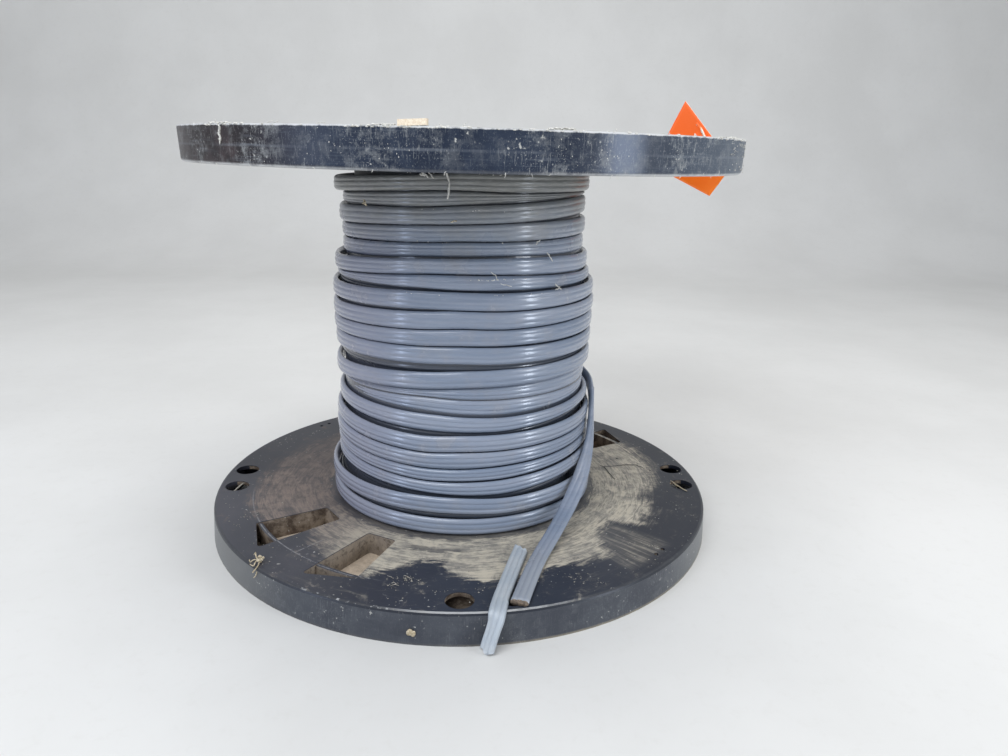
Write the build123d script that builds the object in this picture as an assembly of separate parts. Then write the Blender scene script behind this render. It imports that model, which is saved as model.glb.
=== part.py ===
from build123d import *
import math
import os

# A moulded plastic cable reel that stands on one flange, wound with flat building cable.
# Millimetres. The reel's axis is Z and the floor is z = 0. Angles are from +X, seen from above.

# Reel
flange_diameter = 610.0
flange_depth = 34.0
traverse = 389.0
web_thickness = 5.0
rim_wall = 6.0
rim_draft = 1.6
rim_edge_radius = 3.0
rim_edge_step = 0.88
rib_thickness = 4.0
rib_setback = 2.0
arbor_diameter = 52.4
hub_wall = 8.0

# The pocket axis is the line about which each flange's layout is symmetric
pocket_axis_angle = 47.7
rib_count = 12

# Pockets in the face that meets the cable, each with a rib across it
pocket_inner_radius = 182.0
pocket_outer_edge_distance = 23.0
pocket_short_edge_distance = 41.0
pocket_near_angle = 7.7
pocket_far_angle = 19.0
pocket_depth = 24.5
pocket_wall = 4.0
pocket_corner_radius = 3.5
cross_rib_edge_distance = 45.5
cross_rib_thickness = 5.0
cross_rib_drop = 1.5

# Tie holes in pairs, and the pairs of small nail holes
tie_hole_diameter = 28.4
tie_hole_edge_distance = 23.5
tie_hole_spacing = 49.6
tie_pair_angle = 46.9
nail_hole_diameter = 5.0
nail_hole_edge_distance = 20.0
nail_hole_spacing = 14.0

# Barrel, in a groove of each flange
barrel_diameter = 254.0
barrel_wall = 6.5
groove_depth = 8.0
groove_wall = 4.0
groove_clearance = 0.3

# Tie bolts inside the barrel, with flanged heads and nuts under bosses in the web
bolt_diameter = 10.0
bolt_circle_radius = 98.0
bolt_count = 4
bolt_hole_clearance = 0.5
bolt_head_flats = 16.0
bolt_head_height = 6.4
bolt_end_past_nut = 2.0
nut_height = 8.0
bolt_flange_diameter = 20.0
bolt_flange_thickness = 2.0
boss_radius = 17.0
head_clearance_radius = 13.0
bearing_height = 14.0

# Flat cable on the barrel: layers in each turn from the lower flange up
cable_width = 17.8
cable_thickness = 6.8
winding_clearance = 0.3
winding_top_gap = 3.0
turn_layer_counts = (5, 5, 5, 4, 4, 4, 4, 3, 3, 4, 4, 4, 4, 4, 3, 3, 2, 2, 2, 2, 3)
turn_groove_depth = 2.2
turn_edge_height = 3.2
end_groove_depth = 1.5
end_groove_width = 2.4

# Loose end of the cable, from the winding to its cut end on the lower flange
tail_descent = (
    (158.6, -10.0, 158.0),
    (155.6, -40.2, 130.0),
    (148.8, -72.4, 103.0),
    (135.0, -106.0, 79.0),
    (117.0, -139.0, 58.0),
    (98.0, -171.0, 43.5),
)
tail_bed = ((81.0, -205.0), (68.5, -241.0))
tail_end_edge_distance = 8.1
tail_end_angle = -79.62
tail_landed_share = 0.62
tail_section_count = 17
corner_share = 0.45

# Off-cut of empty cable sheath, over the edge of the lower flange
offcut_width = 17.0
offcut_thickness = 4.6
offcut_ridge_count = 3
offcut_edge_share = 0.1
offcut_valley_share = 0.3
offcut_start_edge_distance = 107.0
offcut_start_angle = -72.66
offcut_end_past_rim = 10.6
offcut_end_angle = -86.37
offcut_bend_past_rim = 4.5
offcut_bend_radius = 8.0
offcut_end_height = 1.6
offcut_clearance = 0.3

# Blank tag, bent round the rim of the upper flange, and its tie
tag_length = 88.0
tag_width = 80.0
tag_thickness = 0.8
tag_angle = 19.5
tag_turn_angle = 49.0
tag_drop = 8.0
tag_rim_gap = 2.6
tag_eyelet_diameter = 9.0
tag_eyelet_angle = 18.9
tie_thickness = 1.6
tie_rim_clearance = 0.4
tie_rise = 11.0
tie_arch = 1.6
tie_bend_radius = 2.5
tie_end_reach = 4.0
tie_end_rise = 1.0

os.makedirs("parts", exist_ok=True)

flange_radius = flange_diameter / 2
overall_height = traverse + 2 * flange_depth
upper_face_height = flange_depth + traverse
web_underside = flange_depth - web_thickness
hub_radius = arbor_diameter / 2 + hub_wall
barrel_radius = barrel_diameter / 2
ring_rib_radius = pocket_inner_radius - pocket_wall / 2
pocket_outer_radius = flange_radius - pocket_outer_edge_distance
pocket_short_radius = flange_radius - pocket_short_edge_distance
cross_rib_radius = flange_radius - cross_rib_edge_distance
tie_hole_radius = flange_radius - tie_hole_edge_distance
nail_hole_radius = flange_radius - nail_hole_edge_distance
tail_rest_height = flange_depth + cable_thickness / 2 + winding_clearance
mirror_axis = Axis(
    (0, 0, 0),
    (math.cos(math.radians(pocket_axis_angle)), math.sin(math.radians(pocket_axis_angle)), 0),
)


def polar(radius, angle):
    """Point in plan at a radius and an angle in degrees."""
    return (radius * math.cos(math.radians(angle)), radius * math.sin(math.radians(angle)))


def block(inner_radius, outer_radius, low, high):
    """Rectangle of a turned section: radius across, height up."""
    centre = Pos((inner_radius + outer_radius) / 2, (low + high) / 2)
    return centre * Rectangle(outer_radius - inner_radius, high - low)


def turned(section):
    """Solid of revolution about Z from a section in the radius-height plane."""
    return revolve(Plane.XZ * section, axis=Axis.Z)


def ring(middle_radius, thickness, low, high):
    """Section of a ring rib."""
    return block(middle_radius - thickness / 2, middle_radius + thickness / 2, low, high)


def upright(sketch, low, high):
    """Prism over a plan sketch between two heights."""
    return extrude(Pos(0, 0, low) * sketch, high - low, dir=(0, 0, 1))


def rod(point, radius, low, high):
    """Upright cylinder at a point in plan."""
    return upright(Pos(*point) * Circle(radius), low, high)


def turned_flange():
    """Web, rim, hub, ring ribs and the walls of the barrel groove."""
    rim = Polygon(
        (flange_radius - rim_wall, 0),
        (flange_radius, 0),
        (flange_radius - rim_draft, flange_depth - rim_edge_radius),
        (flange_radius - rim_draft - rim_edge_step, flange_depth - rim_edge_step),
        (flange_radius - rim_draft - rim_edge_radius, flange_depth),
        (flange_radius - rim_wall, flange_depth),
        align=None,
    )
    section = block(arbor_diameter / 2, flange_radius - rim_wall, web_underside, flange_depth) + rim
    section += block(arbor_diameter / 2, hub_radius, 0, flange_depth)
    section += ring(ring_rib_radius, rib_thickness, rib_setback, web_underside)
    section += ring(cross_rib_radius, cross_rib_thickness, rib_setback, web_underside)
    section += block(
        barrel_radius - barrel_wall - groove_wall,
        barrel_radius + groove_wall,
        rib_setback,
        web_underside,
    )
    return turned(section)


def radial_ribs():
    """Straight ribs from the hub to the rim, placed about the pocket axis."""
    start = hub_radius - hub_wall / 2
    end = flange_radius - rim_wall / 2 - rim_draft
    strip = Pos((start + end) / 2, 0) * Rectangle(end - start, rib_thickness)
    angles = [pocket_axis_angle + 360 / rib_count * index for index in range(rib_count)]
    return [upright(Rot(0, 0, angle) * strip, rib_setback, web_underside) for angle in angles]


def pocket_corners():
    """Corners in plan of one pocket, at the positive side of the pocket axis."""
    near = pocket_axis_angle + pocket_near_angle
    far = pocket_axis_angle + pocket_far_angle
    corners = [
        polar(pocket_inner_radius, near),
        polar(pocket_inner_radius, far),
        polar(pocket_short_radius, far),
        polar(pocket_outer_radius, near),
    ]
    return Polygon(*corners, align=None)


def all_pockets(sketch):
    """The same plan sketch at the four pockets."""
    across = Plane(
        (0, 0, 0),
        x_dir=mirror_axis.direction,
        z_dir=Vector(0, 0, 1).cross(mirror_axis.direction),
    )
    twin = mirror(sketch, about=across)
    return [Rot(0, 0, turn) * one for turn in (0, 180) for one in (sketch, twin)]


def tie_hole_points():
    """Centres of the tie holes: a pair at each side of each end of the pocket axis."""
    half = math.degrees(math.asin(tie_hole_spacing / 2 / tie_hole_radius))
    centres = [pocket_axis_angle + end + side * tie_pair_angle for end in (0, 180) for side in (1, -1)]
    return [polar(tie_hole_radius, centre + step) for centre in centres for step in (half, -half)]


def nail_hole_points():
    """Centres of the small holes, a pair across the pocket axis at each side."""
    half = math.degrees(math.asin(nail_hole_spacing / 2 / nail_hole_radius))
    return [
        polar(nail_hole_radius, pocket_axis_angle + side + step)
        for side in (90, -90)
        for step in (half, -half)
    ]


def bolt_points():
    """Centres of the tie bolts."""
    return [
        polar(bolt_circle_radius, pocket_axis_angle + 360 / bolt_count * index)
        for index in range(bolt_count)
    ]


def make_flange():
    """The lower flange where it stands, its cable face up."""
    corners = pocket_corners()
    outline = fillet(corners.vertices(), pocket_corner_radius)
    box_outline = offset(corners, pocket_wall, kind=Kind.INTERSECTION)
    box_low = flange_depth - pocket_depth - pocket_wall
    body = turned_flange() + radial_ribs()
    body += [upright(one, box_low, flange_depth - web_thickness / 2) for one in all_pockets(box_outline)]
    body += [rod(point, boss_radius, bearing_height, web_underside) for point in bolt_points()]
    cross_rib = turned(
        ring(
            cross_rib_radius,
            cross_rib_thickness,
            flange_depth - pocket_depth,
            flange_depth - cross_rib_drop,
        )
    )
    hollow = Part() + [
        upright(one, flange_depth - pocket_depth, flange_depth) for one in all_pockets(outline)
    ]
    body -= hollow - cross_rib
    body -= turned(
        block(
            barrel_radius - barrel_wall - groove_clearance,
            barrel_radius + groove_clearance,
            flange_depth - groove_depth,
            flange_depth,
        )
    )
    body -= [rod(point, tie_hole_diameter / 2, 0, flange_depth) for point in tie_hole_points()]
    body -= [rod(point, nail_hole_diameter / 2, 0, flange_depth) for point in nail_hole_points()]
    body -= [rod(point, head_clearance_radius, 0, bearing_height) for point in bolt_points()]
    hole = bolt_diameter / 2 + bolt_hole_clearance
    body -= [rod(point, hole, 0, flange_depth) for point in bolt_points()]
    return body


def turned_over(part):
    """A lower part turned over about the pocket axis, to its place at the upper flange."""
    return Pos(0, 0, overall_height) * part.rotate(mirror_axis, 180)


def make_barrel():
    """Tube that stands in the groove of each flange."""
    low = flange_depth - groove_depth
    return turned(block(barrel_radius - barrel_wall, barrel_radius, low, overall_height - low))


def make_bolt(point):
    """Hexagon bolt, head down in the lower flange."""
    head_high = bearing_height - bolt_flange_thickness
    end = overall_height - bearing_height + bolt_flange_thickness + nut_height + bolt_end_past_nut
    head = RegularPolygon(bolt_head_flats / 2, 6, major_radius=False)
    bolt = upright(Pos(*point) * head, head_high - bolt_head_height, head_high)
    bolt += rod(point, bolt_diameter / 2, head_high, end)
    return bolt + rod(point, bolt_flange_diameter / 2, head_high, bearing_height)


def make_nut(point):
    """Hexagon nut with its flange, on the bearing face of the upper flange."""
    low = overall_height - bearing_height
    shape = RegularPolygon(bolt_head_flats / 2, 6, major_radius=False)
    nut = upright(Pos(*point) * shape, low, low + bolt_flange_thickness + nut_height)
    nut += rod(point, bolt_flange_diameter / 2, low, low + bolt_flange_thickness)
    return nut - rod(point, bolt_diameter / 2, low, low + bolt_flange_thickness + nut_height)


def end_notches(bore_radius, layers, height, direction):
    """Points of the notches between the layers at one end of the winding, from the bore out."""
    points = []
    for layer in range(1, layers):
        radius = bore_radius + layer * cable_thickness
        points.append((radius - end_groove_width / 2, height))
        points.append((radius, height + direction * end_groove_depth))
        points.append((radius + end_groove_width / 2, height))
    return points


def make_winding():
    """The wound cable as one turned solid, each turn with its own bulge."""
    bore_radius = barrel_radius + winding_clearance
    height = traverse - winding_top_gap
    pitch = height / len(turn_layer_counts)
    radii = [bore_radius + layers * cable_thickness for layers in turn_layer_counts]
    points = [(bore_radius, flange_depth)]
    points += end_notches(bore_radius, turn_layer_counts[0], flange_depth, 1)
    for index, radius in enumerate(radii):
        low = flange_depth + index * pitch
        points.append((radius - turn_groove_depth, low))
        points.append((radius, low + turn_edge_height))
        points.append((radius, low + pitch - turn_edge_height))
        points.append((radius - turn_groove_depth, low + pitch))
    top = flange_depth + height
    points += reversed(end_notches(bore_radius, turn_layer_counts[-1], top, -1))
    points.append((bore_radius, top))
    outline = [points[0]]
    for point in points[1:]:
        if math.dist(point, outline[-1]) > 0.01:
            outline.append(point)
    return turned(Polygon(*outline, align=None))


def corner_radii(points):
    """Largest arcs that the runs beside each corner leave room for."""
    radii = []
    for before, corner, after in zip(points, points[1:], points[2:]):
        first = Vector(*corner) - Vector(*before)
        second = Vector(*after) - Vector(*corner)
        half_turn = math.radians(first.get_angle(second)) / 2
        radii.append(corner_share * min(first.length, second.length) / math.tan(half_turn))
    return radii


def make_tail():
    """Loose end of the cable: its flat side leaves the winding facing out and lies down facing up."""
    end = polar(flange_radius - tail_end_edge_distance, tail_end_angle)
    points = [*tail_descent, *((x, y, tail_rest_height) for x, y in (*tail_bed, end))]
    radii = corner_radii(points)
    path = FilletPolyline(*points, radius=radii)
    flat = Rectangle(cable_width, cable_thickness)
    sections = []
    for index in range(tail_section_count):
        place = index / (tail_section_count - 1)
        origin = path @ place
        outward = Vector(origin.X, origin.Y, 0).normalized()
        lain = min(place / tail_landed_share, 1)
        facing = outward * (1 - lain) + Vector(0, 0, lain)
        run = path % place
        sections.append(Plane(origin=origin, x_dir=facing.cross(run), z_dir=run) * flat)
    print("tail radii", [round(radius) for radius in radii], "length", round(path.length, 1))
    tail = loft(sections, ruled=True)
    print("tail volume over section times length", round(tail.volume / flat.area / path.length, 4))
    return tail


def sheath_section():
    """Section of the empty sheath: three ridges above and a hollow for three wires below."""
    ridge = offcut_width / offcut_ridge_count
    top = offcut_thickness / 2
    edge = offcut_thickness * offcut_edge_share
    valley = offcut_thickness * offcut_valley_share
    points = [(-offcut_width / 2, edge)]
    for index in range(offcut_ridge_count):
        middle = ridge / 2 + index * ridge - offcut_width / 2
        points += [(middle - ridge / 4, top), (middle + ridge / 4, top)]
        if index < offcut_ridge_count - 1:
            points.append((middle + ridge / 2, valley))
    points += [(offcut_width / 2, edge), (offcut_width / 2 - ridge / 4, -top)]
    hollow = offcut_width / 2 - ridge / 2
    points += [(hollow, -top), (hollow, -edge), (-hollow, -edge), (-hollow, -top)]
    points.append((ridge / 4 - offcut_width / 2, -top))
    return Polygon(*points, align=None)


def make_offcut():
    """Strip of sheath, flat on the lower flange and bent down past the rim."""
    start = Vector(*polar(flange_radius - offcut_start_edge_distance, offcut_start_angle))
    end = polar(flange_radius + offcut_end_past_rim, offcut_end_angle)
    along = (Vector(*end) - start).normalized()
    reach = flange_radius + offcut_bend_past_rim
    middle = start.dot(along)
    bend = -middle + math.sqrt(middle**2 + reach**2 - start.length**2)
    lying = flange_depth + offcut_clearance + offcut_thickness / 2
    corner = start + along * bend
    path = FilletPolyline(
        (start.X, start.Y, lying),
        (corner.X, corner.Y, lying),
        (*end, offcut_end_height),
        radius=offcut_bend_radius,
    )
    start_plane = Plane(origin=path @ 0, x_dir=(along.Y, -along.X, 0), z_dir=path % 0)
    return sweep(start_plane * sheath_section(), path=path)


def eyelet_frame():
    """Plan origin and direction of the tie's plane, from its tie hole to the tag's eyelet."""
    pair = pocket_axis_angle - tie_pair_angle
    half = math.degrees(math.asin(tie_hole_spacing / 2 / tie_hole_radius))
    hole = Vector(*polar(tie_hole_radius, pair + half))
    eyelet = Vector(*polar(flange_radius + tag_rim_gap + tag_thickness / 2, tag_eyelet_angle))
    return hole, eyelet


def make_tag():
    """Thin sheet bent round the rim, a square hung by its corner, with an eyelet."""
    inner = flange_radius + tag_rim_gap
    middle_height = overall_height - tag_drop
    band = turned(
        block(inner, inner + tag_thickness, middle_height - tag_length, middle_height + tag_length)
    )
    front = Plane(
        origin=(*polar(flange_radius / 2, tag_angle), middle_height),
        x_dir=(*polar(1, tag_angle + 90), 0),
        z_dir=(*polar(1, tag_angle), 0),
    )
    square = front * (Rot(0, 0, tag_turn_angle) * Rectangle(tag_length, tag_width))
    hole, eyelet = eyelet_frame()
    hole_plane = Plane(
        origin=(hole.X, hole.Y, overall_height + tie_rise),
        x_dir=(0, 0, 1),
        z_dir=(eyelet.X - hole.X, eyelet.Y - hole.Y, 0),
    )
    eye = extrude(hole_plane * Circle(tag_eyelet_diameter / 2), flange_radius)
    return band & extrude(square, flange_radius) - eye


def make_tag_tie():
    """Thin tie through a tie hole, round the rim and through the tag's eyelet."""
    hole, eyelet = eyelet_frame()
    along = (eyelet - hole).normalized()
    reach = (eyelet - hole).length
    outside = flange_radius + tie_thickness / 2 + tie_rim_clearance
    middle = hole.dot(along)
    wall = -middle + math.sqrt(middle**2 + outside**2 - hole.length**2)
    inside_radius = flange_radius - rim_wall - tie_thickness
    inside = -middle + math.sqrt(middle**2 + inside_radius**2 - hole.length**2)
    over = overall_height + tie_thickness / 2 + tie_rim_clearance
    under = upper_face_height - tie_thickness / 2 - tie_rim_clearance
    eye_height = overall_height + tie_rise
    route = [
        (reach + tie_end_reach, eye_height + tie_end_rise),
        (reach - tie_end_reach, eye_height - tie_end_rise),
        (inside, over + tie_arch),
        (tie_thickness / 2, upper_face_height + web_thickness + tie_thickness),
        (0.0, under),
        (wall, under),
        (wall, over - tie_thickness),
    ]
    points = [
        (hole.X + along.X * step, hole.Y + along.Y * step, height) for step, height in route
    ]
    path = FilletPolyline(*points, radius=tie_bend_radius)
    across = (along.Y, -along.X, 0)
    section = Plane(origin=path @ 0, x_dir=across, z_dir=path % 0) * Rectangle(tie_thickness, tie_thickness)
    return sweep(section, path=path)


def save(part, name):
    """Write one sub-part, named as its node."""
    part.label = name
    export_step(part, f"parts/{name}.step")


flange = make_flange()
save(flange, "flange_lower")
save(turned_over(flange), "flange_upper")
save(make_barrel(), "barrel")
for number, point in enumerate(bolt_points(), start=1):
    save(make_bolt(point), f"tie_bolt_{number}")
    save(make_nut(point), f"tie_nut_{number}")
save(make_winding(), "cable_winding")
save(make_tail(), "cable_tail")
save(make_offcut(), "sheath_offcut")
save(make_tag(), "tag")
save(make_tag_tie(), "tag_tie")
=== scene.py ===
from functools import reduce
from math import cos, exp, inf, pi, radians, sin
import random

import bpy
import numpy as np
from mathutils import Matrix, Vector


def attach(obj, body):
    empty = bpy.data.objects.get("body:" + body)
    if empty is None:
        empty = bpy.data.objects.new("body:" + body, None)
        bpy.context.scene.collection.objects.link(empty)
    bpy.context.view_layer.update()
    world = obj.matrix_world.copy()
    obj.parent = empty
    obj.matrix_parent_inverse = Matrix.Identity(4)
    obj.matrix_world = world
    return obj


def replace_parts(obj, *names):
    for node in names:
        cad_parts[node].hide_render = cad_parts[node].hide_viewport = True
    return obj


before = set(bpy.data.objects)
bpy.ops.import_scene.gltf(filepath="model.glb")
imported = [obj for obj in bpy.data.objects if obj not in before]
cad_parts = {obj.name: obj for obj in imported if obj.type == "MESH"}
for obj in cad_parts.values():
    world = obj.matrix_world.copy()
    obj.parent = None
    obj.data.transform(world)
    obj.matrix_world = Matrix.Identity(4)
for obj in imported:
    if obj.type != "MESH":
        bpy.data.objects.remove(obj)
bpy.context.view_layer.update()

# Sizes as in the part's source, in metres
FLANGE_R = 0.305
DEPTH = 0.034
HEIGHT = 0.457
UPPER_FACE = 0.423
CABLE_W = 0.0178
CABLE_T = 0.0068
RIM_INNER = 0.2995
POCKET_INNER, POCKET_OUTER = 0.165, 0.2845
POCKET_AXIS = radians(47.7)

# Camera, fitted to the two rims in the photograph: place in metres, turns in radians, lens in pixels
CAMERA_PLACE = (0, -0.9057, 0.4401)
YAW, PITCH, ROLL = -0.0548, 0.2907, 0.026
FOCAL, PHOTO_WIDTH = 757, 1008
SENSOR_WIDTH = 36

scene = bpy.context.scene


def link_object(name, data):
    """Puts new data into the scene as an object."""
    made = bpy.data.objects.new(name, data)
    scene.collection.objects.link(made)
    return made


def make_camera():
    """Camera at the photograph's place, with its lens."""
    right = Vector((cos(YAW), sin(YAW), 0))
    ahead = Vector((-sin(YAW), cos(YAW), 0))
    forward = cos(PITCH) * ahead - sin(PITCH) * Vector((0, 0, 1))
    up = sin(PITCH) * ahead + cos(PITCH) * Vector((0, 0, 1))
    across = cos(ROLL) * right + sin(ROLL) * up
    above = -sin(ROLL) * right + cos(ROLL) * up
    data = bpy.data.cameras.new("camera")
    data.sensor_width = SENSOR_WIDTH
    data.lens = FOCAL / PHOTO_WIDTH * SENSOR_WIDTH
    data.clip_start = 0.01
    data.clip_end = 50
    camera = link_object("camera", data)
    turn = Matrix((across, above, -forward)).transposed().to_4x4()
    camera.matrix_world = Matrix.Translation(CAMERA_PLACE) @ turn
    scene.camera = camera


make_camera()
scene.view_settings.view_transform = "Standard"


# Material building
class Nodes:
    """Short ways to add and join shader nodes of one material."""

    def __init__(self, name):
        self.material = bpy.data.materials.new(name)
        self.material.use_nodes = True
        self.tree = self.material.node_tree
        self.tree.nodes.clear()

    def add(self, kind, inputs=None, **settings):
        node = self.tree.nodes.new(kind)
        for key, value in settings.items():
            setattr(node, key, value)
        for key, value in (inputs or {}).items():
            self.put(node.inputs[key], value)
        return node

    def put(self, socket, value):
        if isinstance(value, bpy.types.NodeSocket):
            self.tree.links.new(value, socket)
        elif isinstance(value, tuple) and len(value) == 3 and socket.type == "RGBA":
            socket.default_value = (*value, 1)
        else:
            socket.default_value = value

    def math(self, operation, first, second=0, clamp=False):
        node = self.add("ShaderNodeMath", {0: first, 1: second}, operation=operation, use_clamp=clamp)
        return node.outputs[0]

    def times(self, *values, clamp=False):
        return reduce(lambda a, b: self.math("MULTIPLY", a, b, clamp), values)

    def plus(self, *values, clamp=False):
        return reduce(lambda a, b: self.math("ADD", a, b, clamp), values)

    def minus(self, first, second):
        return self.math("SUBTRACT", first, second)

    def apart(self, value, centre):
        """Distance of a value from a centre."""
        return self.math("ABSOLUTE", self.minus(value, centre))

    def swing(self, noise, size):
        """Noise as an offset to both sides."""
        return self.times(self.minus(noise, 0.5), size)

    def step(self, value, low, high, out_low=0, out_high=1):
        """Smooth step between two values."""
        node = self.add(
            "ShaderNodeMapRange",
            {"Value": value, "From Min": low, "From Max": high, "To Min": out_low, "To Max": out_high},
            interpolation_type="SMOOTHSTEP",
        )
        return node.outputs["Result"]

    def mix(self, share, first, second):
        node = self.add("ShaderNodeMix", {"Factor": share}, data_type="RGBA")
        self.put(node.inputs[6], first)
        self.put(node.inputs[7], second)
        return node.outputs[2]

    def noise(self, where, scale, detail=4, rough=0.6, distortion=0):
        node = self.add(
            "ShaderNodeTexNoise",
            {"Vector": where, "Scale": scale, "Detail": detail, "Roughness": rough, "Distortion": distortion},
        )
        return node.outputs["Fac"]

    def combine(self, x, y, z):
        return self.add("ShaderNodeCombineXYZ", {"X": x, "Y": y, "Z": z}).outputs[0]

    def place(self):
        """Position in the row frame, its parts, its radius, its angle about the axis and its facing up."""
        geometry = self.add("ShaderNodeNewGeometry")
        where = geometry.outputs["Position"]
        x, y, z = self.add("ShaderNodeSeparateXYZ", {0: where}).outputs
        radius = self.math("SQRT", self.plus(self.times(x, x), self.times(y, y)))
        angle = self.math("ARCTAN2", y, x)
        normal = self.add("ShaderNodeSeparateXYZ", {0: geometry.outputs["True Normal"]})
        return where, x, y, z, radius, angle, normal.outputs[2]

    def finish(self, colour, roughness, height=None, strength=0.3, distance=0.0004, **shader):
        inputs = {"Base Color": colour, "Roughness": roughness}
        inputs.update({key.replace("_", " "): value for key, value in shader.items()})
        if height is not None:
            bump = self.add("ShaderNodeBump", {"Height": height, "Strength": strength, "Distance": distance})
            inputs["Normal"] = bump.outputs[0]
        surface = self.add("ShaderNodeBsdfPrincipled", inputs)
        output = self.add("ShaderNodeOutputMaterial")
        self.tree.links.new(surface.outputs[0], output.inputs[0])
        return self.material


# how far out the dust reaches on the lower face: angle about the axis in degrees, radius in mm
DUST_EDGE = (
    (-180, 257), (-171, 259), (-158, 266), (-145, 245), (-139, 222), (-134, 238), (-130, 239), (-122, 252),
    (-112, 254), (-107, 226), (-101, 216), (-95, 214), (-92, 238), (-88, 240), (-83, 252), (-72, 250),
    (-66, 243), (-56, 252), (-51, 254), (-46, 236), (-41, 216), (-36, 214), (-31, 246), (-22, 246),
    (-12, 233), (-5, 246), (12, 262), (40, 266), (90, 250), (140, 244), (180, 257),
)


def dust_film(n, place, patch, mottle, fine, arc):
    """Share of dust on the faces: thick about the cable out to an uneven edge, patchy beyond, thinned against
    the cable into a ring of painted shade.
    """
    where, x, y, z, radius, angle, lift = place
    bent = n.plus(angle, n.swing(n.noise(where, 14, 3), 0.3))
    ramp = n.add("ShaderNodeValToRGB", {0: n.math("DIVIDE", n.plus(bent, pi), 2 * pi)})
    stops = ramp.color_ramp.elements
    for index, (degrees, reach) in enumerate(DUST_EDGE):
        along = (degrees + 180) / 360
        share = reach / 1000 / FLANGE_R
        stop = stops[index] if index < 2 else stops.new(along)
        stop.position = along
        stop.color = (share, share, share, 1)
    limit = n.times(ramp.outputs[0], FLANGE_R)
    limit = n.plus(limit, n.swing(mottle, 0.03), n.swing(arc, 0.045))
    soft = n.math("MAXIMUM", n.step(x, -0.05, -0.14, 0.012, 0.026), n.step(x, 0.08, 0.17, 0.012, 0.03))
    inside = n.step(n.math("DIVIDE", n.minus(radius, limit), soft), 0.35, -0.75)
    near_ring = n.plus(radius, n.swing(arc, 0.03))
    nick = n.noise(n.combine(n.times(angle, 6), n.times(radius, 380), z), 1.2, 3, 0.7, 1.2)
    thick = n.plus(
        n.step(arc, 0.34, 0.62, 0, 0.26),
        n.step(mottle, 0.3, 0.66, 0, 0.2),
        n.step(patch, 0.34, 0.62, 0, 0.14),
        n.step(nick, 0.53, 0.66, 0, -0.36),
    )
    film = n.times(inside, n.plus(0.54, thick))
    # a darker smear in front of the cable, and thinner dust at the far left
    smear = n.step(n.apart(near_ring, 0.19), 0.0065, 0.003, 0, 0.62)
    smear = n.times(n.step(n.apart(angle, -1.72), 0.2, 0.12), smear)
    far_left = n.times(n.step(y, -0.03, 0.07, 0, 0.42), n.step(x, -0.08, -0.16))
    film = n.times(film, n.minus(1, smear), n.minus(1, far_left))
    # a wiped place with streaks that run outward, at the right of the front
    wipe = n.noise(n.combine(n.times(angle, 46), n.times(radius, 13), z), 1.5, 4, 0.65, 0.4)
    wiped = n.times(n.step(n.apart(angle, -0.79), 0.17, 0.09), n.step(radius, 0.206, 0.222))
    wiped = n.times(wiped, n.step(radius, 0.292, 0.276), n.step(wipe, 0.42, 0.68, 0.1, 0.46))
    film = n.math("MAXIMUM", film, wiped)
    # patches and specks beyond the edge
    outer = n.plus(n.step(arc, 0.54, 0.76, 0, 0.2), n.step(mottle, 0.54, 0.72, 0, 0.44))
    outer = n.times(outer, n.step(patch, 0.38, 0.62, 0.2, 1))
    outer = n.plus(outer, n.step(fine, 0.6, 0.8, 0, 0.16))
    outer = n.times(outer, n.step(x, 0.19, 0.25, 1, 0.45))
    film = n.math("MAXIMUM", film, outer)
    # less dust against the cable, which paints the cable's contact shadow as a dark ring; the upper flange
    # has its own even dust
    film = n.times(film, n.step(near_ring, 0.172, 0.165, 1, 0.28))
    upper = n.math("GREATER_THAN", z, HEIGHT / 2)
    settled = n.step(mottle, 0.35, 0.7, 0.16, 0.5)
    film = n.plus(n.times(film, n.minus(1, upper)), n.times(settled, upper))
    return n.times(film, n.step(lift, 0.6, 0.9), clamp=True)


def rim_scuffs(n, place, colour, side, lower, broad, crumb):
    """Scuffs, streaks and specks over the outer walls of both rims."""
    where, x, _, z, _, angle, _ = place
    dense = n.step(n.noise(where, 15, 3), 0.36, 0.62, 0.3, 1)
    dense = n.times(dense, n.step(n.apart(x, -0.02), 0.02, 0.12, 0.6, 1))
    dense = n.plus(dense, n.step(x, 0.16, 0.24, 0, 0.3))
    above = n.times(side, n.minus(1, n.times(lower, 0.72)), dense)
    bar = n.noise(n.combine(n.times(angle, 4), 0, n.times(z, 330)), 1.4, 3, 0.6)
    tall = n.noise(n.combine(n.times(angle, 130), 0, n.times(z, 42)), 1.5, 5, 0.72)
    speck = n.noise(n.combine(n.times(angle, 190), 0, n.times(z, 420)), 1.2, 3, 0.65)
    cloud = n.times(n.step(crumb, 0.48, 0.64), above)
    tall = n.times(n.step(tall, 0.55, 0.66), above)
    colour = n.mix(n.times(n.step(bar, 0.54, 0.68, 0, 0.32), above), colour, (0.19, 0.21, 0.24))
    colour = n.mix(n.times(cloud, 0.55), colour, (0.27, 0.28, 0.28))
    colour = n.mix(n.times(tall, 0.62), colour, (0.42, 0.43, 0.42))
    colour = n.mix(n.times(n.step(speck, 0.58, 0.68, 0, 0.66), above), colour, (0.48, 0.48, 0.47))
    line = n.step(n.apart(z, 0.4398), 0.0016, 0.0003, 0, 0.26)
    colour = n.mix(n.times(line, side, n.step(broad, 0.4, 0.6)), colour, (0.24, 0.26, 0.29))
    dot = n.step(n.noise(where, 300, 1, 0.4), 0.7, 0.76, 0, 0.75)
    dot = n.times(dot, n.step(n.noise(where, 30, 2, 0.5), 0.45, 0.62))
    return n.mix(dot, colour, (0.52, 0.51, 0.47)), n.plus(tall, cloud)


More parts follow.
